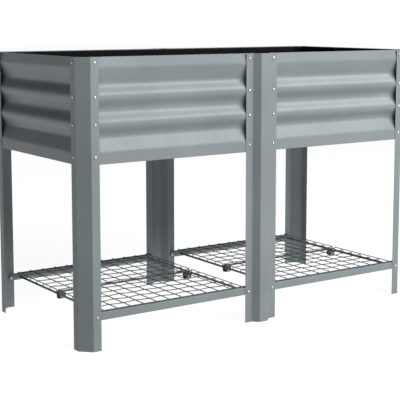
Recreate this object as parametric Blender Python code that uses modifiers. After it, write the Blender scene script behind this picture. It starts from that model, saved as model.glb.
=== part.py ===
"""Raised planter: a corrugated sheet steel bed on six folded legs, over a wire mesh storage shelf.

Metres, +Z up. The origin is on the ground under the middle of the bed. X runs along the length and -Y is the front.
Every piece is drawn once in its own frame, facing -Y, and placed by its location and a turn about Z.
"""

import math

import bmesh
import bpy
from mathutils import Matrix, Vector

# Overall sizes
LENGTH = 1.200                  # over the end flanges of the corner posts
DEPTH = 0.560                   # over the front and rear flanges of the posts
HEIGHT = 0.800                  # ground to rim
BED_HEIGHT = 0.288              # wall panels, from their bottom edge to the rim

# Fits
GAP = 0.0003                    # between pieces that touch
HOLE_CLEARANCE = 0.0006         # round a bolt, on the radius
ROUND_SIDES = 8                 # facets of a hole or a bolt

# Posts, folded from sheet
POST_SHEET = 0.0012
POST_FOLD_RADIUS = 0.0025
FOLD_SEGMENTS = 2
CORNER_FLANGE = 0.025
CORNER_CHAMFER = 0.031          # each leg of the 45 degree face
MID_FLANGE = 0.024
MID_SLOPE = 0.017
MID_CROWN = 0.030
MID_PROUD = 0.018               # the crown stands this far outside the flanges

# Corrugated wall panels
PANEL_SHEET = 0.0010
PANEL_END_GAP = 0.0010          # panel edge to the post's first fold
STRIP = 0.034                   # flat strip along the top and bottom edges
CORRUGATIONS = 3
CORRUGATION_DEPTH = 0.015
CORRUGATION_RADIUS = 0.018
WAVE_SEGMENTS = 5

# Panel screw holes: one at each strip and one at each crest between
TOP_SCREW_DROP = 0.015          # below the rim
BOTTOM_SCREW_RISE = 0.021       # above the panel's bottom edge
PANEL_SCREW = 0.0050            # diameter

# Floor trays and their bearers
TRAY_SHEET = 0.0010
TRAY_SKIRT = 0.028
TRAY_DROP = 0.002               # below the first corrugation
BEARER_WIDTH = 0.040
BEARER_HEIGHT = 0.024
BEARER_SHEET = 0.0012
DRAIN_DIAMETER = 0.012
DRAIN_ROWS = 3
DRAIN_STEP = 0.120              # from the bearer, on each side

# Fabric liner
LINER_THICKNESS = 0.0012
LINER_GAP = 0.0005              # off the inward corrugations
LINER_CORNER = 0.020
LINER_DROP = 0.0020             # below the rim

# Shelf rails
RAIL_TOP = 0.107                # above the ground
RAIL_FACE = 0.022
RAIL_FLANGE = 0.020
RAIL_SHEET = 0.0012
RAIL_LAP = 0.0175               # tucked behind each post flange
SHELF_BOLT_HEIGHT = 0.094

# Wire mesh shelf: two panels in each bay, with lips turned down at three edges
WIRE = 0.0028
CELLS_ALONG = 11
CELLS_ACROSS = 6
MESH_SIDE_GAP = 0.008           # to each post flange
MESH_FRONT_GAP = 0.0092         # inside the front and rear faces of the posts
MESH_JOINT = 0.010              # between the two panels of a bay
LIP = 0.010                     # below the underside of the mesh
LIP_CLEARANCE = 0.001           # a lip's end to the rail flange

# Crossbar and clips at the joint of the two mesh panels
CROSSBAR_HEIGHT = 0.010
CROSSBAR_SHEET = 0.0010
CLIP_SHEET = 0.0015
CLIP_LENGTH = 0.020
CLIP_DROP = 0.013               # below the lips
CLIP_CHEEK = 0.006              # height of the cheeks beside the lips
CLIP_RADIUS = 0.005
CLIP_SIDE_GAP = 0.001           # to the side lip

# Bolts and nuts
SHELF_BOLT = 0.0050
CLIP_BOLT = 0.0040
HEAD_RATIO = 1.6                # head diameter to shank diameter
HEAD_HEIGHT_RATIO = 0.45
NUT_FLATS_RATIO = 1.7
NUT_HEIGHT_RATIO = 0.8
NUT_SIDES = 6
THREAD_CLEARANCE = 0.0003       # bore to bolt, on the radius
THREAD_PAST_NUT = 0.002

# Positions worked out from the sizes above
BED_BOTTOM = HEIGHT - BED_HEIGHT
HALF_LENGTH = LENGTH / 2
HALF_DEPTH = DEPTH / 2
CORNER_WIDTH = CORNER_CHAMFER + CORNER_FLANGE
MID_HALF = MID_CROWN / 2 + MID_SLOPE + MID_FLANGE
PITCH = (BED_HEIGHT - 2 * STRIP) / CORRUGATIONS
PANEL_SET_BACK = POST_SHEET + GAP
PANEL_INNER = PANEL_SET_BACK + PANEL_SHEET + GAP          # the tray skirt starts here, from the outer faces
LINER_OUTER = PANEL_SET_BACK + CORRUGATION_DEPTH + PANEL_SHEET + LINER_GAP
BAY_START = MID_HALF
BAY_END = HALF_LENGTH - CORNER_WIDTH
CORNER_SCREW_X = BAY_END + CORNER_FLANGE / 2
MID_SCREW_X = MID_HALF - MID_FLANGE / 2
END_SCREW_Y = HALF_DEPTH - CORNER_WIDTH + CORNER_FLANGE / 2
SCREW_HEIGHTS = (
    [HEIGHT - TOP_SCREW_DROP, BED_BOTTOM + BOTTOM_SCREW_RISE]
    + [HEIGHT - STRIP - PITCH * n for n in range(1, CORRUGATIONS)]
)
TRAY_TOP = BED_BOTTOM + STRIP - TRAY_DROP
MESH_BOTTOM = RAIL_TOP + GAP
MESH_TOP = MESH_BOTTOM + WIRE
MESH_LENGTH = BAY_END - BAY_START - 2 * MESH_SIDE_GAP
MESH_DEPTH = HALF_DEPTH - MESH_FRONT_GAP - MESH_JOINT / 2
BAY_CENTRE = (BAY_START + BAY_END) / 2
LIP_BOTTOM = MESH_BOTTOM - LIP
CLIP_INNER = MESH_JOINT / 2 + WIRE + GAP                  # half of the width between the cheeks
CLIP_OFFSET = MESH_LENGTH / 2 - WIRE - CLIP_SIDE_GAP - CLIP_LENGTH / 2   # from the middle of the bay

QUARTER = math.pi / 2
# The turn about Z that makes a piece drawn facing the front face each side
TURNS = {"front": 0.0, "right": QUARTER, "rear": 2 * QUARTER, "left": -QUARTER}
FRONT_AND_REAR = (("front", -1), ("rear", 1))
LEFT_AND_RIGHT = (("left", -1), ("right", 1))

# Finishes: colour, roughness, metallic
COATED_STEEL = ((0.262, 0.292, 0.301), 0.45, 0.0)
DARK_STEEL = ((0.030, 0.036, 0.040), 0.50, 0.0)
BARE_ZINC = ((0.62, 0.64, 0.66), 0.32, 1.0)
BLACK_FELT = ((0.003, 0.003, 0.003), 0.95, 0.0)


def new_collection(name):
    collection = bpy.data.collections.new(name)
    bpy.context.scene.collection.children.link(collection)
    return collection


def new_material(name, finish):
    colour, roughness, metallic = finish
    material = bpy.data.materials.new(name)
    material.use_nodes = True
    shader = material.node_tree.nodes["Principled BSDF"]
    shader.inputs["Base Color"].default_value = (*colour, 1.0)
    shader.inputs["Roughness"].default_value = roughness
    shader.inputs["Metallic"].default_value = metallic
    return material


def add_piece(name, mesh, finish, location=(0, 0, 0), turn=0.0, tilt=0.0):
    """A named piece with its own material, placed by its location, a tilt about X and a turn about Z."""
    piece = bpy.data.objects.new(name, mesh)
    bpy.data.collections["raised_planter"].objects.link(piece)
    piece.location = location
    piece.rotation_euler = (tilt, 0, turn)
    if not mesh.materials:
        mesh.materials.append(None)
    piece.material_slots[0].link = "OBJECT"
    piece.material_slots[0].material = new_material(name, finish)
    return piece


def thicken(piece, thickness):
    """Gives an open sheet its wall, on the back of its faces."""
    wall = piece.modifiers.new("wall", "SOLIDIFY")
    wall.thickness = thickness
    wall.offset = -1
    wall.use_even_offset = True
    return piece


def cut(piece, *cutters):
    for cutter in cutters:
        hole = piece.modifiers.new("holes", "BOOLEAN")
        hole.operation = "DIFFERENCE"
        hole.solver = "EXACT"
        hole.object = cutter
    return piece


def mesh_from(source, name):
    mesh = bpy.data.meshes.new(name)
    source.to_mesh(mesh)
    source.free()
    return mesh


def new_verts(result):
    return [item for item in result["geom"] if isinstance(item, bmesh.types.BMVert)]


def face_outwards(sheet, outside):
    """Turns all the faces of an open sheet so that, taken together, they look that way."""
    bmesh.ops.recalc_face_normals(sheet, faces=sheet.faces)
    total = sum((face.normal for face in sheet.faces), Vector())
    if total.dot(outside) < 0:
        bmesh.ops.reverse_faces(sheet, faces=sheet.faces)


def rounded(corners, radius, segments):
    """The points of an open outline whose inner corners are arcs of one radius."""
    points = [Vector(corners[0])]
    for before, corner, after in zip(corners, corners[1:], corners[2:]):
        corner = Vector(corner)
        back = (Vector(before) - corner).normalized()
        ahead = (Vector(after) - corner).normalized()
        half = back.angle(ahead) / 2
        tangent = radius / math.tan(half)
        centre = corner + (back + ahead).normalized() * radius / math.sin(half)
        start = corner + back * tangent - centre
        sweep = start.angle_signed(corner + ahead * tangent - centre)
        for n in range(segments + 1):
            points.append(centre + Matrix.Rotation(-sweep * n / segments, 2) @ start)
    points.append(Vector(corners[-1]))
    return points


def folded_mesh(name, outline, length, along, outside):
    """An outline drawn out into an open sheet: (x, y) drawn up Z from the ground, or (y, z) along X, centred."""
    sheet = bmesh.new()
    if along == "Z":
        points = [sheet.verts.new((x, y, 0)) for x, y in outline]
        travel = Vector((0, 0, length))
    else:
        points = [sheet.verts.new((-length / 2, y, z)) for y, z in outline]
        travel = Vector((length, 0, 0))
    edges = [sheet.edges.new(pair) for pair in zip(points, points[1:])]
    drawn = bmesh.ops.extrude_edge_only(sheet, edges=edges)
    bmesh.ops.translate(sheet, vec=travel, verts=new_verts(drawn))
    face_outwards(sheet, Vector(outside))
    return mesh_from(sheet, name)


def tray_mesh(name, outline, rise):
    """A flat sheet with a skirt round its whole edge, turned up or down, facing the outside."""
    tray = bmesh.new()
    floor = tray.faces.new([tray.verts.new((x, y, 0)) for x, y in outline])
    skirt = bmesh.ops.extrude_edge_only(tray, edges=list(floor.edges))
    bmesh.ops.translate(tray, vec=(0, 0, rise), verts=new_verts(skirt))
    face_outwards(tray, Vector((0, 0, -rise)))
    return mesh_from(tray, name)


def new_cutter(name, holes, length, axis):
    """Cylinders for bolt and screw holes. Each hole is a place and the diameter of what goes through it."""
    directions = {"X": Matrix.Rotation(QUARTER, 4, "Y"), "Y": Matrix.Rotation(QUARTER, 4, "X"), "Z": Matrix()}
    drills = bmesh.new()
    for place, diameter in holes:
        radius = diameter / 2 + HOLE_CLEARANCE
        bmesh.ops.create_cone(
            drills, cap_ends=True, segments=ROUND_SIDES, radius1=radius, radius2=radius, depth=length,
            matrix=Matrix.Translation(place) @ directions[axis],
        )
    cutter = bpy.data.objects.new(name, mesh_from(drills, name))
    bpy.data.collections["cutters"].objects.link(cutter)
    cutter.hide_render = True
    cutter.display_type = "WIRE"
    return cutter


def side_cutter(side):
    """Every screw hole of one side of the bed, through all the sheets that meet there."""
    sign = 1 if side in ("rear", "right") else -1
    length = 4 * (PANEL_INNER + TRAY_SHEET)
    if side in ("left", "right"):
        lines = (-END_SCREW_Y, END_SCREW_Y)
        places = [((sign * HALF_LENGTH, y, z), PANEL_SCREW) for y in lines for z in SCREW_HEIGHTS]
        return new_cutter("holes_" + side, places, length, "X")
    lines = (-CORNER_SCREW_X, -MID_SCREW_X, MID_SCREW_X, CORNER_SCREW_X)
    places = [((x, sign * HALF_DEPTH, z), PANEL_SCREW) for x in lines for z in SCREW_HEIGHTS]
    places += [((x, sign * HALF_DEPTH, SHELF_BOLT_HEIGHT), SHELF_BOLT) for x in lines]
    return new_cutter("holes_" + side, places, length, "Y")


def make_corner_posts(cutters):
    """Four legs: a flange on each of two walls, and a 45 degree face between them."""
    corners = [(0, CORNER_WIDTH), (0, CORNER_CHAMFER), (CORNER_CHAMFER, 0), (CORNER_WIDTH, 0)]
    outline = rounded(corners, POST_FOLD_RADIUS, FOLD_SEGMENTS)
    mesh = folded_mesh("corner_post", outline, HEIGHT, "Z", (-1, -1, 0))
    turns = {("front", "left"): 0.0, ("front", "right"): QUARTER,
             ("rear", "right"): 2 * QUARTER, ("rear", "left"): -QUARTER}
    for side, sign_y in FRONT_AND_REAR:
        for end, sign_x in LEFT_AND_RIGHT:
            place = (sign_x * HALF_LENGTH, sign_y * HALF_DEPTH, 0)
            post = add_piece(f"corner_post_{side}_{end}", mesh, COATED_STEEL, place, turns[side, end])
            cut(thicken(post, POST_SHEET), cutters[side], cutters[end])


def make_mid_posts(cutters):
    """Two legs of hat section: a crown that stands outside the bed, between two flanges."""
    crown = MID_CROWN / 2
    foot = crown + MID_SLOPE
    corners = [(-MID_HALF, 0), (-foot, 0), (-crown, -MID_PROUD), (crown, -MID_PROUD), (foot, 0), (MID_HALF, 0)]
    outline = rounded(corners, POST_FOLD_RADIUS, FOLD_SEGMENTS)
    mesh = folded_mesh("mid_post", outline, HEIGHT, "Z", (0, -1, 0))
    for side, sign in FRONT_AND_REAR:
        post = add_piece("mid_post_" + side, mesh, COATED_STEEL, (0, sign * HALF_DEPTH, 0), TURNS[side])
        cut(thicken(post, POST_SHEET), cutters[side])


def panel_outline():
    """The section of a wall panel from its bottom edge up: a strip, the inward corrugations and a strip."""
    flank = math.atan2(CORRUGATION_DEPTH, PITCH / 2)
    apex = CORRUGATION_RADIUS * (1 / math.cos(flank) - 1)      # what an arc cuts off its corner
    wave = [(0, STRIP)]
    for n in range(CORRUGATIONS):
        wave.append((CORRUGATION_DEPTH + apex, STRIP + PITCH * (n + 0.5)))
        wave.append((-apex, STRIP + PITCH * (n + 1)))
    wave[-1] = (0, BED_HEIGHT - STRIP)
    return [Vector((0, 0)), *rounded(wave, CORRUGATION_RADIUS, WAVE_SEGMENTS), Vector((0, BED_HEIGHT))]


def make_wall_panels(cutters):
    """Two panels at the front, two at the rear and one at each end, behind the post flanges."""
    outline = panel_outline()
    near = BAY_START - MID_FLANGE + PANEL_END_GAP
    far = BAY_END + CORNER_FLANGE - PANEL_END_GAP
    end_width = DEPTH - 2 * (CORNER_CHAMFER + PANEL_END_GAP)
    bay_mesh = folded_mesh("wall_panel", outline, far - near, "X", (0, -1, 0))
    end_mesh = folded_mesh("end_panel", outline, end_width, "X", (0, -1, 0))
    for side, sign_y in FRONT_AND_REAR:
        for bay, sign_x in LEFT_AND_RIGHT:
            place = (sign_x * (near + far) / 2, sign_y * (HALF_DEPTH - PANEL_SET_BACK), BED_BOTTOM)
            panel = add_piece(f"wall_panel_{side}_{bay}", bay_mesh, COATED_STEEL, place, TURNS[side])
            cut(thicken(panel, PANEL_SHEET), cutters[side])
    for end, sign_x in LEFT_AND_RIGHT:
        place = (sign_x * (HALF_LENGTH - PANEL_SET_BACK), 0, BED_BOTTOM)
        panel = add_piece("end_panel_" + end, end_mesh, COATED_STEEL, place, TURNS[end])
        cut(thicken(panel, PANEL_SHEET), cutters[end])


def channel_outline(width, height):
    """A channel in (y, z), open at the bottom, with its top at zero."""
    return [(-width / 2, -height), (-width / 2, 0), (width / 2, 0), (width / 2, -height)]


def make_floor(cutters):
    """Two trays with their skirts turned down, meeting at the middle, and a bearer under each."""
    outer = HALF_LENGTH - PANEL_INNER
    half = HALF_DEPTH - PANEL_INNER
    seam = GAP / 2
    corner = CORNER_CHAMFER
    outline = [(seam, -half), (outer - corner, -half), (outer, corner - half),
               (outer, half - corner), (outer - corner, half), (seam, half)]
    mesh = tray_mesh("floor_tray", outline, -TRAY_SKIRT)
    centre = outer / 2
    columns = [sign * (centre + step) for sign in (-1, 1) for step in (-DRAIN_STEP, DRAIN_STEP)]
    rows = [half * (2 * (n + 1) / (DRAIN_ROWS + 1) - 1) for n in range(DRAIN_ROWS)]
    drains = [((x, y, TRAY_TOP), DRAIN_DIAMETER) for x in columns for y in rows]
    drain_cutter = new_cutter("drain_holes", drains, 4 * TRAY_SHEET, "Z")
    bearer_length = 2 * (half - TRAY_SHEET - GAP)
    bearer_outline = channel_outline(BEARER_WIDTH, BEARER_HEIGHT)
    bearer_mesh = folded_mesh("floor_bearer", bearer_outline, bearer_length, "X", (0, 0, 1))
    for end, sign in LEFT_AND_RIGHT:
        turn = 0.0 if end == "right" else 2 * QUARTER
        tray = add_piece("floor_tray_" + end, mesh, COATED_STEEL, (0, 0, TRAY_TOP), turn)
        cut(thicken(tray, TRAY_SHEET), drain_cutter, cutters["front"], cutters["rear"], cutters[end])
        place = (sign * centre, 0, TRAY_TOP - TRAY_SHEET - GAP)
        bearer = add_piece("floor_bearer_" + end, bearer_mesh, COATED_STEEL, place, QUARTER)
        thicken(bearer, BEARER_SHEET)


def make_liner():
    """An open bag of felt inside the walls, up to just under the rim."""
    x = HALF_LENGTH - LINER_OUTER
    y = HALF_DEPTH - LINER_OUTER
    c = LINER_CORNER
    outline = [(c - x, -y), (x - c, -y), (x, c - y), (x, y - c), (x - c, y), (c - x, y), (-x, y - c), (-x, c - y)]
    bottom = TRAY_TOP + GAP
    mesh = tray_mesh("fabric_liner", outline, HEIGHT - LINER_DROP - bottom)
    thicken(add_piece("fabric_liner", mesh, BLACK_FELT, (0, 0, bottom)), LINER_THICKNESS)


def make_rails(cutters):
    """An angle rail along the front and the rear of each bay, its ends behind the post flanges."""
    length = BAY_END - BAY_START + 2 * RAIL_LAP
    outline = [(RAIL_FLANGE, 0), (0, 0), (0, -RAIL_FACE)]
    mesh = folded_mesh("shelf_rail", outline, length, "X", (0, -1, 1))
    for side, sign_y in FRONT_AND_REAR:
        for bay, sign_x in LEFT_AND_RIGHT:
            place = (sign_x * BAY_CENTRE, sign_y * (HALF_DEPTH - PANEL_SET_BACK), RAIL_TOP)
            rail = add_piece(f"shelf_rail_{side}_{bay}", mesh, COATED_STEEL, place, TURNS[side])
            cut(thicken(rail, RAIL_SHEET), cutters[side])


def split_sides(lattice, y):
    """Adds a point on each side edge of the lattice at that y."""
    for edge in [edge for edge in lattice.edges if edge.is_boundary]:
        near, far = sorted(edge.verts, key=lambda vert: vert.co.y)
        if near.co.y < y < far.co.y:
            bmesh.utils.edge_split(edge, near, (y - near.co.y) / (far.co.y - near.co.y))


def wire_panel_mesh():
    """A lattice of wires with its top at zero. The edge at the joint, at +Y, turns down as a lip, and so do both
    sides from behind the rail flange on. Half a wire is added to its free edges at the end."""
    half_wire = WIRE / 2
    front = half_wire - MESH_DEPTH
    lip_start = PANEL_SET_BACK + RAIL_FLANGE + LIP_CLEARANCE - MESH_FRONT_GAP - MESH_DEPTH
    lattice = bmesh.new()
    bmesh.ops.create_grid(lattice, x_segments=CELLS_ALONG, y_segments=CELLS_ACROSS, size=0.5)
    bmesh.ops.scale(lattice, vec=(MESH_LENGTH, -front, 1), verts=lattice.verts)
    bmesh.ops.translate(lattice, vec=(0, front / 2, 0), verts=lattice.verts)
    split_sides(lattice, lip_start)
    split_sides(lattice, lip_start - LIP_CLEARANCE)
    turned = [edge for edge in lattice.edges if edge.is_boundary and edge_middle(edge).y > lip_start]
    lips = bmesh.ops.extrude_edge_only(lattice, edges=turned)
    bmesh.ops.translate(lattice, vec=(0, 0, half_wire - WIRE - LIP), verts=new_verts(lips))
    face_outwards(lattice, Vector((0, 0, 1)))
    cells = list(lattice.faces)
    bmesh.ops.inset_individual(lattice, faces=cells, thickness=half_wire, use_even_offset=True)
    bmesh.ops.delete(lattice, geom=cells, context="FACES_ONLY")
    free = [vert for vert in lattice.verts if vert.co.y < front + half_wire / 2]
    lower = [vert for vert in lattice.verts if vert.co.z < -LIP]
    bmesh.ops.translate(lattice, vec=(0, -half_wire, 0), verts=free)
    bmesh.ops.translate(lattice, vec=(0, 0, -half_wire), verts=lower)
    return mesh_from(lattice, "mesh_panel")


def edge_middle(edge):
    return (edge.verts[0].co + edge.verts[1].co) / 2


def make_mesh_panels():
    """Two wire panels in each bay, laid on the rails, with their lips back to back at the middle."""
    mesh = wire_panel_mesh()
    for side, sign_y in FRONT_AND_REAR:
        for bay, sign_x in LEFT_AND_RIGHT:
            place = (sign_x * BAY_CENTRE, sign_y * MESH_JOINT / 2, MESH_TOP)
            thicken(add_piece(f"mesh_panel_{side}_{bay}", mesh, DARK_STEEL, place, TURNS[side]), WIRE)


def bolt_mesh(name, diameter, length):
    """The section of a pan-head bolt, seated at zero with its head at +Z, for a Screw modifier to turn."""
    radius = diameter / 2
    head = diameter * HEAD_RATIO / 2
    height = diameter * HEAD_HEIGHT_RATIO
    profile = [(0, height), (head * 0.6, height), (head, height / 2), (head, 0), (radius, 0), (radius, -length),
               (0, -length)]
    return section_mesh(name, profile, closed=False)


def nut_mesh(name, diameter):
    """The section of a hexagon nut, seated at zero and standing at -Z, for a Screw modifier to turn."""
    to_corner = 1 / math.cos(math.pi / NUT_SIDES)
    outer = diameter * NUT_FLATS_RATIO / 2 * to_corner
    inner = (diameter / 2 + THREAD_CLEARANCE) * to_corner
    height = diameter * NUT_HEIGHT_RATIO
    return section_mesh(name, [(outer, 0), (outer, -height), (inner, -height), (inner, 0)], closed=True)


def section_mesh(name, profile, closed):
    section = bmesh.new()
    points = [section.verts.new((x, 0, z)) for x, z in profile]
    for pair in zip(points, points[1:]):
        section.edges.new(pair)
    if closed:
        section.edges.new((points[-1], points[0]))
    return mesh_from(section, name)


def turn_section(piece, sides):
    turned = piece.modifiers.new("turned", "SCREW")
    turned.steps = sides
    turned.render_steps = sides
    turned.use_merge_vertices = True
    turned.merge_threshold = 0.00001
    return piece


def make_shelf_bolts():
    """A bolt and a nut at each end of each rail, through the post flange."""
    grip = PANEL_SET_BACK + RAIL_SHEET + GAP
    bolt = bolt_mesh("shelf_bolt", SHELF_BOLT, GAP + grip + SHELF_BOLT * NUT_HEIGHT_RATIO + THREAD_PAST_NUT)
    nut = nut_mesh("shelf_nut", SHELF_BOLT)
    for side, sign_y in FRONT_AND_REAR:
        tilt = -sign_y * QUARTER
        for bay, sign_x in LEFT_AND_RIGHT:
            for end, x in (("outer", CORNER_SCREW_X), ("inner", MID_SCREW_X)):
                name = f"{side}_{bay}_{end}"
                seat = (sign_x * x, sign_y * (HALF_DEPTH + GAP), SHELF_BOLT_HEIGHT)
                back = (sign_x * x, sign_y * (HALF_DEPTH - grip), SHELF_BOLT_HEIGHT)
                turn_section(add_piece("shelf_bolt_" + name, bolt, BARE_ZINC, seat, tilt=tilt), ROUND_SIDES)
                turn_section(add_piece("shelf_nut_" + name, nut, BARE_ZINC, back, tilt=tilt), NUT_SIDES)


def make_joints():
    """Under the joint of each bay: a crossbar, and at each end a clip with its bolt and nut."""
    half_bar = MESH_JOINT / 2 - GAP
    cheek = CLIP_INNER + CLIP_SHEET
    clip_floor = LIP_BOTTOM - CLIP_DROP
    bolt_height = (LIP_BOTTOM + clip_floor) / 2
    bar_top = bolt_height + CLIP_BOLT / 2 + GAP + CROSSBAR_HEIGHT
    bar_outline = channel_outline(2 * half_bar, CROSSBAR_HEIGHT)
    bar_mesh = folded_mesh("shelf_crossbar", bar_outline, MESH_LENGTH - 2 * WIRE, "X", (0, 0, 1))
    cheek_top = LIP_BOTTOM + CLIP_CHEEK
    clip_corners = [(-cheek, cheek_top), (-cheek, clip_floor), (cheek, clip_floor), (cheek, cheek_top)]
    clip_outline = rounded(clip_corners, CLIP_RADIUS, FOLD_SEGMENTS)
    clip_mesh = folded_mesh("joint_clip", clip_outline, CLIP_LENGTH, "X", (0, 0, -1))
    bolt_length = 2 * (cheek + GAP) + CLIP_BOLT * NUT_HEIGHT_RATIO + THREAD_PAST_NUT
    bolt = bolt_mesh("clip_bolt", CLIP_BOLT, bolt_length)
    nut = nut_mesh("clip_nut", CLIP_BOLT)
    centres = {
        f"{bay}_{end}": sign_x * (BAY_CENTRE + step * CLIP_OFFSET)
        for bay, sign_x in LEFT_AND_RIGHT for end, step in (("inner", -1), ("outer", 1))
    }
    holes = [((x, 0, bolt_height), CLIP_BOLT) for x in centres.values()]
    clip_cutter = new_cutter("clip_holes", holes, 4 * cheek, "Y")
    for bay, sign_x in LEFT_AND_RIGHT:
        bar = add_piece("shelf_crossbar_" + bay, bar_mesh, COATED_STEEL, (sign_x * BAY_CENTRE, 0, bar_top))
        thicken(bar, CROSSBAR_SHEET)
    for name, x in centres.items():
        clip = add_piece("joint_clip_" + name, clip_mesh, DARK_STEEL, (x, 0, 0))
        cut(thicken(clip, CLIP_SHEET), clip_cutter)
        seat = (x, -cheek - GAP, bolt_height)
        back = (x, cheek + GAP, bolt_height)
        turn_section(add_piece("clip_bolt_" + name, bolt, BARE_ZINC, seat, tilt=QUARTER), ROUND_SIDES)
        turn_section(add_piece("clip_nut_" + name, nut, BARE_ZINC, back, tilt=QUARTER), NUT_SIDES)


def main():
    for item in list(bpy.data.objects):
        bpy.data.objects.remove(item)
    new_collection("raised_planter")
    new_collection("cutters")
    cutters = {side: side_cutter(side) for side in TURNS}
    make_corner_posts(cutters)
    make_mid_posts(cutters)
    make_wall_panels(cutters)
    make_floor(cutters)
    make_liner()
    make_rails(cutters)
    make_mesh_panels()
    make_shelf_bolts()
    make_joints()


main()
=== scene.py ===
import math

import bmesh
import bpy
from mathutils import Matrix, Vector, noise


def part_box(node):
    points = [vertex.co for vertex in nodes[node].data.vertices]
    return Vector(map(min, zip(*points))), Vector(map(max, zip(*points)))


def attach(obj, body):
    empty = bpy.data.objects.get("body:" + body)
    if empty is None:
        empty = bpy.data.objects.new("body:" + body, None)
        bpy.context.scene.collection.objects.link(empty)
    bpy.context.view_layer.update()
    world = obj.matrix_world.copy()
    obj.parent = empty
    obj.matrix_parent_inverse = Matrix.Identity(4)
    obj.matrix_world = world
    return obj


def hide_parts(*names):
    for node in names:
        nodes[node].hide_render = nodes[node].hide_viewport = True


# A raised planter on six legs: folded steel posts, corrugated walls, a felt bag for the soil and a wire shelf.
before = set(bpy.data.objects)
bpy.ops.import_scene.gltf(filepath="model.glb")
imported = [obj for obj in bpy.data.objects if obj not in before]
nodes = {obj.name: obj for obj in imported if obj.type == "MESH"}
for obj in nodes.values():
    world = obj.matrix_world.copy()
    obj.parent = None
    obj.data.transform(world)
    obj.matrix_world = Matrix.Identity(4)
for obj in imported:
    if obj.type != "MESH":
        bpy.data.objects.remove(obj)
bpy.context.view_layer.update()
scene = bpy.context.scene
quarter = math.pi / 2
mm = 0.001

# The turn about Z that brings a piece drawn facing the front to each side
turns = {"front": 0.0, "right": quarter, "rear": 2 * quarter, "left": -quarter}
frontAndRear = (("front", -1), ("rear", 1))
leftAndRight = (("left", -1), ("right", 1))


# Colours and shader nodes

def linearColour(hexColour):
    channels = [int(hexColour[n:n + 2], 16) / 255 for n in (1, 3, 5)]
    linear = [c / 12.92 if c <= 0.04045 else ((c + 0.055) / 1.055) ** 2.4 for c in channels]
    return (*linear, 1.0)


def addNode(material, kind, settings=None, links=None):
    # settings starting with a capital are sockets, the others are the node's own options
    node = material.node_tree.nodes.new(kind)
    for name, value in (settings or {}).items():
        if name[0].isupper():
            node.inputs[name].default_value = value
        else:
            setattr(node, name, value)
    for name, source in (links or {}).items():
        material.node_tree.links.new(source, node.inputs[name])
    return node


def addRamp(material, factor, stops):
    ramp = addNode(material, "ShaderNodeValToRGB", links={"Fac": factor})
    elements = ramp.color_ramp.elements
    while len(elements) < len(stops):
        elements.new(0.5)
    for element, (position, hexColour) in zip(elements, stops):
        element.position = position
        element.color = linearColour(hexColour)
    return ramp.outputs["Color"]


def newMaterial(name):
    material = bpy.data.materials.new(name)
    material.use_nodes = True
    return material, material.node_tree.nodes["Principled BSDF"]


def plug(material, source, socket):
    material.node_tree.links.new(source, socket)


def objectCoordinates(material, stretch=(1, 1, 1)):
    place = addNode(material, "ShaderNodeTexCoord").outputs["Object"]
    return addNode(material, "ShaderNodeMapping", {"Scale": stretch}, {"Vector": place}).outputs["Vector"]


def noiseAt(material, place, size, detail=2.0, roughness=0.5):
    # size is the width of one blotch, in metres
    settings = {"Scale": 1 / size, "Detail": detail, "Roughness": roughness}
    return addNode(material, "ShaderNodeTexNoise", settings, {"Vector": place}).outputs["Fac"]


def mapRange(material, value, low, high, fromLow=0.3, fromHigh=0.7):
    settings = {"From Min": fromLow, "From Max": fromHigh, "To Min": low, "To Max": high}
    return addNode(material, "ShaderNodeMapRange", settings, {"Value": value}).outputs["Result"]


# Finishes

coating = {
    "light": "#6a7173", "dark": "#646b6d",       # the two shades that the coat drifts between
    "drift": 180 * mm,
    "peelSize": 2.2 * mm, "peelDepth": 0.05 * mm,  # real orange peel is finer; drawn coarse enough to show
    "waveSize": 160 * mm, "waveDepth": 0.12 * mm,   # the sheet is never quite flat
    "rubSize": 22 * mm, "roughLow": 0.35, "roughHigh": 0.42, "gloss": 0.2,
}


def powderCoat(name, wave=True):
    # Polyester powder coat on zinc-coated sheet: an even grey, satin, with a fine orange peel
    material, shader = newMaterial(name)
    place = objectCoordinates(material)
    drift = noiseAt(material, place, coating["drift"], 3)
    colour = addRamp(material, drift, [(0.35, coating["dark"]), (0.65, coating["light"])])
    plug(material, colour, shader.inputs["Base Color"])
    rub = noiseAt(material, objectCoordinates(material, (1, 1, 0.25)), coating["rubSize"], 4, 0.6)
    plug(material, mapRange(material, rub, coating["roughLow"], coating["roughHigh"]), shader.inputs["Roughness"])
    peel = noiseAt(material, place, coating["peelSize"], 1)
    bump = addNode(material, "ShaderNodeBump", {"Strength": 1.0, "Distance": coating["peelDepth"]}, {"Height": peel})
    if wave:
        sway = noiseAt(material, place, coating["waveSize"], 1)
        settings = {"Strength": 1.0, "Distance": coating["waveDepth"]}
        bump = addNode(material, "ShaderNodeBump", settings, {"Height": sway, "Normal": bump.outputs["Normal"]})
    plug(material, bump.outputs["Normal"], shader.inputs["Normal"])
    shader.inputs["IOR"].default_value = 1.5
    shader.inputs["Specular IOR Level"].default_value = coating["gloss"]
    return material


cut = {"coat": "#626a6c", "thin": "#72797b", "zinc": "#8d9292", "specks": 3 * mm, "burr": 0.05 * mm}


def cutEdge(name):
    # The sheared edge of a coated sheet: the coat is thin there and zinc shows through in specks
    material, shader = newMaterial(name)
    place = objectCoordinates(material)
    specks = noiseAt(material, place, cut["specks"], 4, 0.7)
    shade = addRamp(material, specks, [(0.45, cut["coat"]), (0.62, cut["thin"]), (0.70, cut["zinc"])])
    plug(material, shade, shader.inputs["Base Color"])
    plug(material, mapRange(material, specks, 0.55, 0.38), shader.inputs["Roughness"])
    plug(material, mapRange(material, specks, 0.0, 0.35, 0.6, 0.72), shader.inputs["Metallic"])
    bump = addNode(material, "ShaderNodeBump", {"Strength": 0.6, "Distance": cut["burr"]}, {"Height": specks})
    plug(material, bump.outputs["Normal"], shader.inputs["Normal"])
    return material


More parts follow.
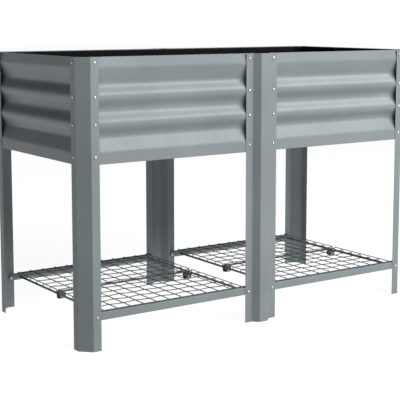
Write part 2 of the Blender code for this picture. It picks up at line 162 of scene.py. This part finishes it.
wireCoat = {"light": "#34393c", "dark": "#24282a", "drift": 30 * mm, "roughLow": 0.34, "roughHigh": 0.52,
            "grain": 1.6 * mm, "grainDepth": 0.08 * mm}


def darkWireCoat(name, lift=1.0):
    # Dark dipped coat on welded wire: smooth, thicker in places, its shade drifting a little from place to place
    material, shader = newMaterial(name)
    place = objectCoordinates(material)
    drift = noiseAt(material, place, wireCoat["drift"], 3)
    colour = addRamp(material, drift, [(0.35, wireCoat["dark"]), (0.68, wireCoat["light"])])
    grey = addNode(material, "ShaderNodeHueSaturation", {"Value": lift}, {"Color": colour})
    plug(material, grey.outputs["Color"], shader.inputs["Base Color"])
    grain = noiseAt(material, place, wireCoat["grain"], 2)
    rough = mapRange(material, drift, wireCoat["roughLow"], wireCoat["roughHigh"])
    plug(material, rough, shader.inputs["Roughness"])
    bump = addNode(material, "ShaderNodeBump", {"Strength": 0.5, "Distance": wireCoat["grainDepth"]}, {"Height": grain})
    plug(material, bump.outputs["Normal"], shader.inputs["Normal"])
    return material


zinc = {"light": "#c6cacb", "dark": "#9fa4a7", "mottle": 1.5 * mm, "scratch": 0.8 * mm, "scratchDepth": 0.03 * mm}


def zincPlate(name):
    # Bright zinc plating: pale, cool metal, with the mottling and fine scratches of handling
    material, shader = newMaterial(name)
    place = objectCoordinates(material)
    mottle = noiseAt(material, place, zinc["mottle"], 4, 0.6)
    colour = addRamp(material, mottle, [(0.35, zinc["dark"]), (0.65, zinc["light"])])
    plug(material, colour, shader.inputs["Base Color"])
    plug(material, mapRange(material, mottle, 0.24, 0.42), shader.inputs["Roughness"])
    scratch = noiseAt(material, objectCoordinates(material, (1, 1, 6)), zinc["scratch"], 3)
    bump = addNode(material, "ShaderNodeBump", {"Strength": 0.4, "Distance": zinc["scratchDepth"]}, {"Height": scratch})
    plug(material, bump.outputs["Normal"], shader.inputs["Normal"])
    shader.inputs["Metallic"].default_value = 1.0
    return material


felt = {"light": "#111112", "dark": "#040405", "fibre": 0.9 * mm, "fibreDepth": 0.35 * mm, "clump": 9 * mm}


def blackFelt(name):
    # Needle-punched polypropylene felt: matt black, with fibres lying in every direction
    material, shader = newMaterial(name)
    place = objectCoordinates(material)
    across = noiseAt(material, objectCoordinates(material, (1, 0.16, 1)), felt["fibre"], 3, 0.7)
    along = noiseAt(material, objectCoordinates(material, (0.16, 1, 0.3)), felt["fibre"], 3, 0.7)
    fibres = addNode(material, "ShaderNodeMath", {"operation": "MAXIMUM"})
    plug(material, across, fibres.inputs[0])
    plug(material, along, fibres.inputs[1])
    clumps = noiseAt(material, place, felt["clump"], 3)
    mixed = addNode(material, "ShaderNodeMath", {"operation": "MULTIPLY"})
    plug(material, fibres.outputs[0], mixed.inputs[0])
    plug(material, clumps, mixed.inputs[1])
    colour = addRamp(material, mixed.outputs[0], [(0.20, felt["dark"]), (0.45, felt["light"])])
    plug(material, colour, shader.inputs["Base Color"])
    bump = addNode(
        material, "ShaderNodeBump", {"Strength": 0.8, "Distance": felt["fibreDepth"]}, {"Height": fibres.outputs[0]})
    plug(material, bump.outputs["Normal"], shader.inputs["Normal"])
    plug(material, mapRange(material, clumps, 0.86, 0.98), shader.inputs["Roughness"])
    shader.inputs["Specular IOR Level"].default_value = 0.1
    return material


postCoat = powderCoat("powder_coated_post")
panelCoat = powderCoat("powder_coated_panel")
frameCoat = powderCoat("powder_coated_rail", wave=False)
edgeCoat = cutEdge("sheared_edge")
wireFinish = darkWireCoat("dark_coated_wire")
clipFinish = darkWireCoat("dark_coated_clip", 0.85)
zincFinish = zincPlate("zinc_plated_steel")
feltFinish = blackFelt("black_felt")
print("finishes made")


# Shared steps for every mesh

def newVerts(result):
    return [item for item in result["geom"] if isinstance(item, bmesh.types.BMVert)]


def newEdges(result):
    return [item for item in result["geom"] if isinstance(item, bmesh.types.BMEdge)]


def faceTowards(shape, outside):
    # turns an open sheet so that its faces, taken together, look that way
    bmesh.ops.recalc_face_normals(shape, faces=shape.faces)
    total = sum((face.normal * face.calc_area() for face in shape.faces), Vector())
    if total.dot(Vector(outside)) < 0:
        bmesh.ops.reverse_faces(shape, faces=shape.faces)


def place(shape, turn=0.0, location=(0, 0, 0)):
    bmesh.ops.rotate(shape, cent=(0, 0, 0), matrix=Matrix.Rotation(turn, 3, "Z"), verts=shape.verts)
    bmesh.ops.translate(shape, vec=location, verts=shape.verts)
    return shape


def foldedSheet(corners, radius, steps, length, outside, along="Z"):
    # an open outline drawn out into a sheet, then every fold rounded
    shape = bmesh.new()
    points = [shape.verts.new((x, y, 0)) for x, y in corners]
    outline = [shape.edges.new(pair) for pair in zip(points, points[1:])]
    drawn = bmesh.ops.extrude_edge_only(shape, edges=outline)
    bmesh.ops.translate(shape, vec=(0, 0, length), verts=newVerts(drawn))
    shape.normal_update()
    folds = [edge for edge in shape.edges if not edge.is_boundary]
    if folds:
        bend = abs(folds[0].calc_face_angle_signed())
        bmesh.ops.bevel(
            shape, geom=folds, offset=radius * math.tan(bend / 2), offset_type="OFFSET", segments=steps,
            profile=0.5, affect="EDGES", clamp_overlap=True, material=-1)
    if along == "X":
        # outline x, y become y, z, and its length runs along X
        turnOver = Matrix.Rotation(2 * math.pi / 3, 3, Vector((1, 1, 1)))
        bmesh.ops.rotate(shape, cent=(0, 0, 0), matrix=turnOver, verts=shape.verts)
        bmesh.ops.translate(shape, vec=(-length / 2, 0, 0), verts=shape.verts)
    faceTowards(shape, outside)
    return shape


def newPiece(name, shape, materials, replaced=(), wall=0.0, softEdge=0.0, smooth=0):
    mesh = bpy.data.meshes.new(name)
    shape.to_mesh(mesh)
    shape.free()
    for material in materials:
        mesh.materials.append(material)
    for polygon in mesh.polygons:
        polygon.use_smooth = True
    piece = bpy.data.objects.new(name, mesh)
    scene.collection.objects.link(piece)
    if wall:
        solid = piece.modifiers.new("wall", "SOLIDIFY")
        solid.thickness = wall
        solid.offset = -1
        solid.use_even_offset = True
        solid.material_offset_rim = len(materials) - 1
    if softEdge:
        bevel = piece.modifiers.new("softEdge", "BEVEL")
        bevel.width = softEdge
        bevel.segments = 2
        bevel.limit_method = "ANGLE"
        bevel.angle_limit = math.radians(50)
    if smooth:
        divide = piece.modifiers.new("smooth", "SUBSURF")
        divide.levels = smooth
        divide.render_levels = smooth
    else:
        shading = piece.modifiers.new("shading", "WEIGHTED_NORMAL")
        shading.keep_sharp = False
    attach(piece, "root")
    if replaced:
        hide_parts(*replaced)
    return piece


# Posts

post = {"sheet": 1.2 * mm, "foldRadius": 2.5 * mm, "foldSteps": 6, "edge": 0.25 * mm,
        "chamfer": 31 * mm, "slope": 17 * mm, "crown": 30 * mm, "proud": 18 * mm}
postLow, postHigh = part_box("corner_post_front_left")
midLow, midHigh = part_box("mid_post_front")
height = postHigh.z
halfLength = -postLow.x
halfDepth = -postLow.y
cornerWidth = postHigh.x - postLow.x
midHalf = midHigh.x


def makePosts():
    cornerOutline = [(0, cornerWidth), (0, post["chamfer"]), (post["chamfer"], 0), (cornerWidth, 0)]
    cornerTurns = {("front", "left"): 0.0, ("front", "right"): quarter,
                   ("rear", "right"): 2 * quarter, ("rear", "left"): -quarter}
    for side, signY in frontAndRear:
        for end, signX in leftAndRight:
            shape = foldedSheet(cornerOutline, post["foldRadius"], post["foldSteps"], height, (-1, -1, 0))
            place(shape, cornerTurns[side, end], (signX * halfLength, signY * halfDepth, 0))
            name = f"corner_post_{side}_{end}"
            newPiece("folded_" + name, shape, [postCoat, edgeCoat], [name], post["sheet"], post["edge"])
    crown = post["crown"] / 2
    foot = crown + post["slope"]
    midOutline = [(-midHalf, 0), (-foot, 0), (-crown, -post["proud"]), (crown, -post["proud"]), (foot, 0), (midHalf, 0)]
    for side, signY in frontAndRear:
        shape = foldedSheet(midOutline, post["foldRadius"], post["foldSteps"], height, (0, -1, 0))
        place(shape, turns[side], (0, signY * halfDepth, 0))
        name = "mid_post_" + side
        newPiece("folded_" + name, shape, [postCoat, edgeCoat], [name], post["sheet"], post["edge"])


makePosts()
print("posts folded")


# Walls

# "strip" and "waves" set where the valleys lie, "topStrip" and "footStrip" how much of each edge is flat
wall = {"sheet": 1.0 * mm, "strip": 34 * mm, "waves": 3, "depth": 15 * mm, "rowHeight": 2.4 * mm, "columns": 12,
        "topStrip": 29.5 * mm, "footStrip": 32 * mm, "lean": 4.5 * mm, "crease": 3 * mm, "edge": 0.2 * mm}
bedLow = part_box("wall_panel_front_left")[0].z
bedHeight = height - bedLow
pitch = (bedHeight - 2 * wall["strip"]) / wall["waves"]


def pressedDepth(z):
    # how far in the sharp profile stands, at a height above the wall's bottom edge: straight slopes beside the
    # strips, smooth ridges between the valleys, and a rim that leans in a little
    firstValley = wall["strip"] + pitch / 2
    topCrease = bedHeight - wall["topStrip"]
    if z < wall["footStrip"]:
        return 0.0
    if z < firstValley:
        return wall["depth"] * (z - wall["footStrip"]) / (firstValley - wall["footStrip"])
    if z > topCrease:
        return wall["lean"] * (z - topCrease) / wall["topStrip"]
    if z > bedHeight - firstValley:
        return wall["depth"] * (topCrease - z) / (firstValley - wall["topStrip"])
    return wall["depth"] / 2 * (1 + math.cos(2 * math.pi * (z - firstValley) / pitch))


def corrugation(z):
    # the same with its creases rounded
    steps = [pressedDepth(min(z + wall["crease"] * n / 2, bedHeight)) for n in (-2, -1, 0, 1, 2)]
    return sum(steps) / len(steps)


def makeWall(name, side):
    low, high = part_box(name)
    middle = (low + high) / 2
    alongX = side in ("front", "rear")
    width = high.x - low.x if alongX else high.y - low.y
    shape = bmesh.new()
    rows = round(bedHeight / wall["rowHeight"])
    bmesh.ops.create_grid(shape, x_segments=wall["columns"], y_segments=rows, size=0.5)
    bmesh.ops.scale(shape, vec=(width, bedHeight, 1), verts=shape.verts)
    bmesh.ops.rotate(shape, cent=(0, 0, 0), matrix=Matrix.Rotation(quarter, 3, "X"), verts=shape.verts)
    for vert in shape.verts:
        vert.co.y += corrugation(vert.co.z + bedHeight / 2)
    faceTowards(shape, (0, -1, 0))
    outer = {"front": (middle.x, low.y), "rear": (middle.x, high.y), "left": (low.x, 0), "right": (high.x, 0)}[side]
    place(shape, turns[side], (*outer, bedLow + bedHeight / 2))
    newPiece("corrugated_" + name, shape, [panelCoat, edgeCoat], [name], wall["sheet"], wall["edge"])


for side, _ in frontAndRear:
    for bay, _ in leftAndRight:
        makeWall(f"wall_panel_{side}_{bay}", side)
for end, _ in leftAndRight:
    makeWall("end_panel_" + end, end)
for name in ("floor_tray_left", "floor_tray_right", "floor_bearer_left", "floor_bearer_right"):
    nodes[name].material_slots[0].material = panelCoat
print("walls corrugated")


# Shelf rails, crossbars and clips

rail = {"sheet": 1.2 * mm, "foldRadius": 2.0 * mm, "foldSteps": 5, "edge": 0.25 * mm}
crossbar = {"sheet": 1.0 * mm, "height": 4 * mm, "foldRadius": 1.2 * mm, "foldSteps": 4, "edge": 0.2 * mm}
clip = {"sheet": 1.5 * mm, "foldRadius": 5 * mm, "foldSteps": 6, "edge": 0.3 * mm}


def makeRail(name, side):
    low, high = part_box(name)
    flange = high.y - low.y
    outline = [(flange, 0), (0, 0), (0, low.z - high.z)]
    shape = foldedSheet(outline, rail["foldRadius"], rail["foldSteps"], high.x - low.x, (0, -1, 1), "X")
    outer = low.y if side == "front" else high.y
    place(shape, turns[side], ((low.x + high.x) / 2, outer, high.z))
    newPiece("folded_" + name, shape, [frameCoat, edgeCoat], [name], rail["sheet"], rail["edge"])


def makeChannel(name, look, materials, opening, level=None):
    # a channel along X that fills its node's box, open at the top or at the bottom
    low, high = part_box(name)
    if level is not None:
        high.z = level
        low.z = level - look["height"]
    shut, open_ = (high.z, low.z) if opening == "down" else (low.z, high.z)
    outline = [(low.y, open_), (low.y, shut), (high.y, shut), (high.y, open_)]
    outside = (0, 0, 1 if opening == "down" else -1)
    shape = foldedSheet(outline, look["foldRadius"], look["foldSteps"], high.x - low.x, outside, "X")
    place(shape, 0.0, ((low.x + high.x) / 2, 0, 0))
    newPiece("folded_" + name, shape, materials, [name], look["sheet"], look["edge"])


for bay, _ in leftAndRight:
    for side, _ in frontAndRear:
        makeRail(f"shelf_rail_{side}_{bay}", side)
    # the crossbar sits right under the wires
    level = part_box("shelf_rail_front_" + bay)[1].z
    makeChannel("shelf_crossbar_" + bay, crossbar, [frameCoat, edgeCoat], "down", level)
    for end in ("inner", "outer"):
        makeChannel(f"joint_clip_{bay}_{end}", clip, [clipFinish], "up")
print("rails, crossbars and clips folded")


# Wire shelf

wire = {"radius": 1.4 * mm, "sides": 8, "cellsAlong": 11, "cellsAcross": 6, "crimp": 0.9 * mm, "crimpSteps": 6,
        "bendRadius": 3.5 * mm, "bendSteps": 4, "lattice": 2.8 * mm, "jointDrop": 5 * mm,
        "stack": 1.8,  # how far the upper wires lie above the lower, in radii: less than two, because they are welded
        "barWidth": 2.2 * mm, "barHeight": 6.5 * mm, "barEdge": 0.5 * mm, "barClearance": 1.5 * mm}


def drawWire(shape, path, radius):
    # a ring drawn out from point to point, turning with the path
    heading = (path[1] - path[0]).normalized()
    start = Matrix.Translation(path[0]) @ heading.to_track_quat("Z", "Y").to_matrix().to_4x4()
    ring = bmesh.ops.create_circle(shape, cap_ends=True, radius=radius, segments=wire["sides"], matrix=start)["verts"]
    edges = list({edge for vert in ring for edge in vert.link_edges})
    for n, point in enumerate(path[1:], 1):
        after = path[min(n + 1, len(path) - 1)]
        ahead = ((point - path[n - 1]).normalized() + (after - point).normalized()).normalized()
        drawn = bmesh.ops.extrude_edge_only(shape, edges=edges)
        ring = newVerts(drawn)
        edges = [edge for edge in newEdges(drawn) if all(vert in ring for vert in edge.verts)]
        turn = heading.rotation_difference(ahead).to_matrix()
        bmesh.ops.rotate(shape, cent=path[n - 1], matrix=turn, verts=ring)
        bmesh.ops.translate(shape, vec=point - path[n - 1], verts=ring)
        heading = ahead
    bmesh.ops.edgeloop_fill(shape, edges=edges)


def turnedDown(straight, end, drop):
    # carries a path on round a bend to hang straight down; end is where it hangs, drop how low it ends
    path = list(straight)
    last = path[-1]
    out = Vector((end.x - last.x, end.y - last.y, 0)).normalized()
    radius = wire["bendRadius"]
    centre = Vector((end.x, end.y, last.z)) - out * radius - Vector((0, 0, radius))
    for n in range(wire["bendSteps"] + 1):
        angle = quarter * n / wire["bendSteps"]
        path.append(centre + out * radius * math.sin(angle) + Vector((0, 0, radius * math.cos(angle))))
    path.append(Vector((end.x, end.y, drop)))
    return path


def drawBar(shape, start, end):
    # a flat bar on edge from one point to another along Y, its corners eased
    middle = (start + end) / 2
    size = (wire["barWidth"], (end - start).length, wire["barHeight"])
    made = bmesh.ops.create_cube(shape, size=1, matrix=Matrix.Translation(middle) @ Matrix.Diagonal((*size, 1)))
    edges = list({edge for vert in made["verts"] for edge in vert.link_edges})
    bmesh.ops.bevel(shape, geom=edges, offset=wire["barEdge"], offset_type="OFFSET", segments=2, profile=0.5,
                    affect="EDGES", clamp_overlap=True, material=-1)


def wireShelfShape(width, depth, lip, barStart):
    # drawn with the top of the lattice near zero and the joint edge at y = 0. The wires along Y lie on the crimped
    # wires along X, whose ends turn down to a flat bar on each side
    shape = bmesh.new()
    radius = wire["radius"]
    lower = radius - wire["lattice"]
    upper = lower + wire["stack"] * radius
    drop = -lip + wire["barHeight"] / 2
    halfWidth = width / 2 - radius
    columns = [halfWidth * (2 * n / wire["cellsAlong"] - 1) for n in range(wire["cellsAlong"] + 1)]
    free = radius - depth
    rows = [free * (1 - n / wire["cellsAcross"]) for n in range(wire["cellsAcross"] + 1)]
    clear = wire["bendRadius"] + radius
    for x in columns:
        straight = [Vector((x, -depth, upper)), Vector((x, -depth / 2, upper)), Vector((x, -radius - clear, upper))]
        drawWire(shape, turnedDown(straight, Vector((x, -radius, 0)), upper - wire["jointDrop"]), radius)
    cell = columns[1] - columns[0]
    for row, y in enumerate(rows):
        if row == 0:
            drawWire(shape, [Vector((-halfWidth, y, lower)), Vector((halfWidth, y, lower))], radius)
            continue
        y = min(y, -2 * radius)
        wave = wire["crimp"] * (-1) ** row
        across = []
        x = -halfWidth + clear
        while x < halfWidth - clear:
            phase = math.pi * (x + halfWidth) / cell
            across.append(Vector((x, y, lower + wave * math.cos(phase))))
            x += cell / wire["crimpSteps"]
        right = turnedDown(across, Vector((halfWidth, y, 0)), drop)
        drawWire(shape, turnedDown(list(reversed(right)), Vector((-halfWidth, y, 0)), drop), radius)
    barLevel = wire["barHeight"] / 2 - lip
    for x in (-halfWidth, halfWidth):
        drawBar(shape, Vector((x, barStart, barLevel)), Vector((x, 0, barLevel)))
    bmesh.ops.recalc_face_normals(shape, faces=shape.faces)
    return shape


def makeWireShelf(side, bay):
    name = f"mesh_panel_{side}_{bay}"
    low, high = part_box(name)
    joint = low.y if side == "rear" else high.y
    # the side bars stop just short of the rail's flange
    railLow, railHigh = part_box(f"shelf_rail_{side}_{bay}")
    barStart = -max(railLow.y - joint, joint - railHigh.y) + wire["barClearance"]
    shape = wireShelfShape(high.x - low.x, high.y - low.y, high.z - low.z, barStart)
    place(shape, turns[side], ((low.x + high.x) / 2, joint, high.z))
    newPiece("welded_" + name, shape, [wireFinish], [name])


for side, _ in frontAndRear:
    for bay, _ in leftAndRight:
        makeWireShelf(side, bay)
print("wire shelf drawn")


# Bolts, screws and nuts

# dome and brim are parts of the head's radius, domeHeight and falls parts of its height, root a part of the shank
bolt = {"headRatio": 1.6, "headHeightRatio": 0.45, "sides": 12, "recess": 0.8 * mm, "crossRatio": 0.62,
        "dome": 0.72, "brim": 0.93, "domeHeight": 0.9, "falls": (0.32, 0.3, 0.28), "root": 0.88,
        "threadPitch": 0.8 * mm, "threadLength": 7 * mm, "plain": 1 * mm}
nut = {"flatsRatio": 1.7, "heightRatio": 0.8, "chamfer": 0.35 * mm, "clearance": 0.3 * mm}
screw = {"diameter": 5 * mm, "topDrop": 15 * mm, "bottomRise": 21 * mm, "length": 11 * mm, "gap": 0.3 * mm}


def ringOf(shape, radius, level):
    ring = bmesh.ops.create_circle(
        shape, segments=bolt["sides"], radius=radius, matrix=Matrix.Translation((0, 0, level)))["verts"]
    return list({edge for vert in ring for edge in vert.link_edges})


def drawRing(shape, edges, scale, rise):
    drawn = bmesh.ops.extrude_edge_only(shape, edges=edges)
    ring = newVerts(drawn)
    bmesh.ops.scale(shape, vec=(scale, scale, 1), verts=ring)
    bmesh.ops.translate(shape, vec=(0, 0, rise), verts=ring)
    return [edge for edge in newEdges(drawn) if all(vert in ring for vert in edge.verts)]


def boltShape(diameter, length, threaded):
    # a pan head with a cross recess, seated at zero, its shank pointing down
    shape = bmesh.new()
    radius = diameter / 2
    head = radius * bolt["headRatio"]
    top = diameter * bolt["headHeightRatio"]
    cell = head * bolt["crossRatio"]
    bmesh.ops.create_grid(
        shape, x_segments=3, y_segments=3, size=cell / 2, matrix=Matrix.Translation((0, 0, top)))
    arm = cell / 6
    centres = {face: face.calc_center_median() for face in shape.faces}
    cross = [face for face, centre in centres.items() if min(abs(centre.x), abs(centre.y)) < arm]
    square = [edge for edge in shape.edges if edge.is_boundary]
    dome = ringOf(shape, head * bolt["dome"], top * bolt["domeHeight"])
    bmesh.ops.bridge_loops(shape, edges=square + dome)
    bmesh.ops.inset_region(shape, faces=cross, thickness=0.1 * mm, depth=-bolt["recess"], use_even_offset=True)
    edges = dome
    for scale, fall in zip((bolt["brim"] / bolt["dome"], 1 / bolt["brim"], 1), bolt["falls"]):
        edges = drawRing(shape, edges, scale, -top * fall)
    edges = drawRing(shape, edges, radius / head, 0)
    plain = max(length - bolt["threadLength"], bolt["plain"]) if threaded else length
    edges = drawRing(shape, edges, 1, -plain)
    if threaded:
        for _ in range(int((length - plain) / bolt["threadPitch"])):
            edges = drawRing(shape, edges, bolt["root"], -bolt["threadPitch"] / 2)
            edges = drawRing(shape, edges, 1 / bolt["root"], -bolt["threadPitch"] / 2)
    bmesh.ops.edgeloop_fill(shape, edges=edges)
    bmesh.ops.recalc_face_normals(shape, faces=shape.faces)
    return shape


def nutShape(diameter):
    # the top face of a hexagon nut with its bore; its height comes from a Solidify modifier
    shape = bmesh.new()
    corner = diameter * nut["flatsRatio"] / 2 / math.cos(math.pi / 6)
    outer = ringOf(shape, corner, 0)
    for vert in {vert for edge in outer for vert in edge.verts}:
        sixth = round(math.atan2(vert.co.y, vert.co.x) / (math.pi / 6))
        if sixth % 2:
            vert.co *= math.cos(math.pi / 6)
    inner = ringOf(shape, diameter / 2 + nut["clearance"], 0)
    bmesh.ops.bridge_loops(shape, edges=outer + inner)
    faceTowards(shape, (0, 0, 1))
    return shape


def aim(shape, direction, location):
    turn = Vector((0, 0, 1)).rotation_difference(Vector(direction)).to_matrix()
    bmesh.ops.rotate(shape, cent=(0, 0, 0), matrix=turn, verts=shape.verts)
    bmesh.ops.translate(shape, vec=location, verts=shape.verts)
    return shape


def joined(shapes):
    whole = bmesh.new()
    for shape in shapes:
        mesh = bpy.data.meshes.new("part")
        shape.to_mesh(mesh)
        shape.free()
        whole.from_mesh(mesh)
        bpy.data.meshes.remove(mesh)
    return whole


def makeBoltAndNut(boltName, nutName, outward):
    # outward is -1 where the head looks to the front
    low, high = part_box(boltName)
    diameter = (high.x - low.x) / bolt["headRatio"]
    head = diameter * bolt["headHeightRatio"]
    seat = low.y + head if outward < 0 else high.y - head
    where = Vector(((low.x + high.x) / 2, seat, (low.z + high.z) / 2))
    shape = aim(boltShape(diameter, high.y - low.y - head, True), (0, outward, 0), where)
    newPiece("panhead_" + boltName, shape, [zincFinish], [boltName])
    low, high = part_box(nutName)
    face = low.y if outward > 0 else high.y
    where = Vector(((low.x + high.x) / 2, face, (low.z + high.z) / 2))
    shape = aim(nutShape(diameter), (0, -outward, 0), where)
    newPiece("hex_" + nutName, shape, [zincFinish], [nutName],
             diameter * nut["heightRatio"], nut["chamfer"])


def makePanelScrews(side):
    crests = [height - wall["strip"] - pitch * n for n in range(1, wall["waves"])]
    heights = [height - screw["topDrop"], *crests, bedLow + screw["bottomRise"]]
    flange = (cornerWidth - post["chamfer"]) / 2
    if side in ("front", "rear"):
        midFlange = (midHalf - post["crown"] / 2 - post["slope"]) / 2
        distances = (midHalf - midFlange, halfLength - cornerWidth + flange)
        lines = [sign * distance for sign in (-1, 1) for distance in distances]
        outer = halfDepth
    else:
        lines = [sign * (halfDepth - cornerWidth + flange) for sign in (-1, 1)]
        outer = halfLength
    direction = Matrix.Rotation(turns[side], 3, "Z") @ Vector((0, -1, 0))
    across = Vector((abs(direction.y), abs(direction.x), 0))
    grip = post["sheet"] + wall["sheet"] + 2 * screw["gap"]
    screws, nuts = [], []
    for line in lines:
        for z in heights:
            where = direction * (outer + screw["gap"]) + across * line + Vector((0, 0, z))
            screws.append(aim(boltShape(screw["diameter"], screw["length"], False), direction, where))
            thick = grip + corrugation(z - bedLow)
            if z < bedLow + wall["footStrip"]:
                thick += wall["sheet"] + screw["gap"]  # the lowest screw also holds the skirt of the floor tray
            back = thick + screw["diameter"] * nut["heightRatio"]
            where = direction * (outer - back) + across * line + Vector((0, 0, z))
            nuts.append(aim(nutShape(screw["diameter"]), -direction, where))
    newPiece("panel_screws_" + side, joined(screws), [zincFinish])
    newPiece("panel_nuts_" + side, joined(nuts), [zincFinish], (),
             screw["diameter"] * nut["heightRatio"], nut["chamfer"])


for side, signY in frontAndRear:
    for bay, _ in leftAndRight:
        for end in ("inner", "outer"):
            ending = f"{side}_{bay}_{end}"
            makeBoltAndNut("shelf_bolt_" + ending, "shelf_nut_" + ending, signY)
for bay, _ in leftAndRight:
    for end in ("inner", "outer"):
        makeBoltAndNut(f"clip_bolt_{bay}_{end}", f"clip_nut_{bay}_{end}", -1)
for side in turns:
    makePanelScrews(side)
print("screws, bolts and nuts made")


# Felt liner

liner = {"thickness": 1.2 * mm, "cell": 18 * mm, "fold": 7 * mm, "foldSize": 90 * mm, "rimKeep": 22 * mm,
         "wallBand": 25 * mm, "floorKeep": 60 * mm, "sag": 2.5 * mm, "cornerPasses": 10, "rimPasses": 3}


def makeLiner():
    low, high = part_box("fabric_liner")
    size = high - low
    middle = (low + high) / 2
    shape = bmesh.new()
    columns = round(size.x / liner["cell"])
    across = round(size.y / liner["cell"])
    bmesh.ops.create_grid(shape, x_segments=columns, y_segments=across, size=0.5)
    bmesh.ops.scale(shape, vec=(size.x, size.y, 1), verts=shape.verts)
    bmesh.ops.translate(shape, vec=(middle.x, middle.y, low.z), verts=shape.verts)
    edges = [edge for edge in shape.edges if edge.is_boundary]
    rows = round(size.z / liner["cell"])
    for _ in range(rows):
        drawn = bmesh.ops.extrude_edge_only(shape, edges=edges)
        ring = newVerts(drawn)
        bmesh.ops.translate(shape, vec=(0, 0, size.z / rows), verts=ring)
        edges = [edge for edge in newEdges(drawn) if edge.is_boundary and all(vert in ring for vert in edge.verts)]
    faceTowards(shape, (0, 0, -1))
    rim = [vert for vert in shape.verts if vert.co.z > high.z - 1 * mm]
    inner = [vert for vert in shape.verts if vert not in set(rim)]
    for _ in range(liner["cornerPasses"]):
        bmesh.ops.smooth_vert(shape, verts=shape.verts, factor=0.5, use_axis_x=True, use_axis_y=True, use_axis_z=False)
    for _ in range(liner["rimPasses"]):
        bmesh.ops.smooth_vert(shape, verts=inner, factor=0.4, use_axis_x=False, use_axis_y=False, use_axis_z=True)
    # soft folds hang down the walls and fade out at the rim and at the floor
    for vert in shape.verts:
        toRim = high.z - vert.co.z
        toFloor = vert.co.z - low.z
        inward = Vector((middle.x - vert.co.x, middle.y - vert.co.y, 0))
        onEnd = abs(inward.x) > size.x / 2 - liner["wallBand"]
        onSide = abs(inward.y) > size.y / 2 - liner["wallBand"]
        spot = Vector((vert.co.x, vert.co.y, vert.co.z * 0.35)) / liner["foldSize"]
        ripple = max(0.0, noise.noise(spot) + 0.25)
        if onEnd or onSide:
            fade = min(1.0, toRim / liner["rimKeep"] * 0.8 + 0.15) * min(1.0, toFloor / liner["floorKeep"] + 0.3)
            push = Vector((math.copysign(1, inward.x) * onEnd, math.copysign(1, inward.y) * onSide, 0))
            vert.co += push.normalized() * liner["fold"] * ripple * fade
        else:
            vert.co.z += liner["sag"] * max(0.0, noise.noise(spot * 1.4 + Vector((3, 5, 7))) + 0.2)
    piece = newPiece("felt_bag", shape, [feltFinish], ["fabric_liner"], 0.0, 0.0, 1)
    solid = piece.modifiers.new("wall", "SOLIDIFY")
    solid.thickness = liner["thickness"]
    solid.offset = -1


makeLiner()
print("liner hung")


# Floor, light and camera

studio = {
    "floorSize": 30.0, "floorGap": 0.3 * mm, "floorGlow": 0.95, "floorShade": "#5a5a5a",
    "keyPower": 400.0, "keySize": (5.0, 1.5), "keyDistance": 4.2, "keyAzimuth": 26.0, "keyElevation": 36.0,
    "horizon": 1.0, "above": 0.03, "fadeFrom": 0.06, "fadeTo": 0.17,  # brightness, and between which heights it fades
}
camera = {"place": (-1.958, -2.820, 0.905), "azimuth": -34.39, "pitch": 7.05, "lens": 98.4, "sensor": 36.0,
          "shift": -0.12}


def makeFloor():
    shape = bmesh.new()
    bmesh.ops.create_circle(shape, cap_ends=True, segments=64, radius=studio["floorSize"])
    bmesh.ops.translate(shape, vec=(0, 0, -studio["floorGap"]), verts=shape.verts)
    faceTowards(shape, (0, 0, 1))
    mesh = bpy.data.meshes.new("studio_floor")
    shape.to_mesh(mesh)
    shape.free()
    floor = bpy.data.objects.new("studio_floor", mesh)
    scene.collection.objects.link(floor)
    # A lit white table: mostly its own glow, so that only faint shadows fall on it
    material, shader = newMaterial("white_light_table")
    shader.inputs["Base Color"].default_value = linearColour(studio["floorShade"])
    shader.inputs["Roughness"].default_value = 1.0
    shader.inputs["Specular IOR Level"].default_value = 0.0
    shader.inputs["Emission Color"].default_value = (1, 1, 1, 1)
    shader.inputs["Emission Strength"].default_value = studio["floorGlow"]
    mesh.materials.append(material)


def makeLightAndWorld():
    data = bpy.data.lights.new("key_softbox", "AREA")
    data.energy = studio["keyPower"]
    data.shape = "RECTANGLE"
    data.size, data.size_y = studio["keySize"]
    light = bpy.data.objects.new("key_softbox", data)
    scene.collection.objects.link(light)
    azimuth = math.radians(studio["keyAzimuth"])
    elevation = math.radians(studio["keyElevation"])
    level = math.cos(elevation)
    towards = Vector((math.sin(azimuth) * level, -math.cos(azimuth) * level, math.sin(elevation)))
    light.location = Vector((0, 0, height / 2)) + towards * studio["keyDistance"]
    light.rotation_euler = towards.to_track_quat("Z", "Y").to_euler()
    world = bpy.data.worlds.new("studio")
    scene.world = world
    world.use_nodes = True
    # pale at the horizon, dim above
    sky = addNode(world, "ShaderNodeTexCoord").outputs["Generated"]
    up = addNode(world, "ShaderNodeSeparateXYZ", links={"Vector": sky}).outputs["Z"]
    strength = mapRange(world, up, studio["horizon"], studio["above"], studio["fadeFrom"], studio["fadeTo"])
    plug(world, strength, world.node_tree.nodes["Background"].inputs["Strength"])
    world.node_tree.nodes["Background"].inputs["Color"].default_value = (1, 1, 1, 1)


def makeCamera():
    data = bpy.data.cameras.new("camera")
    data.lens = camera["lens"]
    data.sensor_width = camera["sensor"]
    data.shift_y = camera["shift"]
    data.clip_end = 100
    view = bpy.data.objects.new("camera", data)
    scene.collection.objects.link(view)
    view.location = camera["place"]
    view.rotation_euler = (quarter - math.radians(camera["pitch"]), 0, math.radians(camera["azimuth"]))
    scene.camera = view
    scene.view_settings.view_transform = "Standard"


makeFloor()
makeLightAndWorld()
makeCamera()
print("studio lit")

bpy.context.view_layer.update()
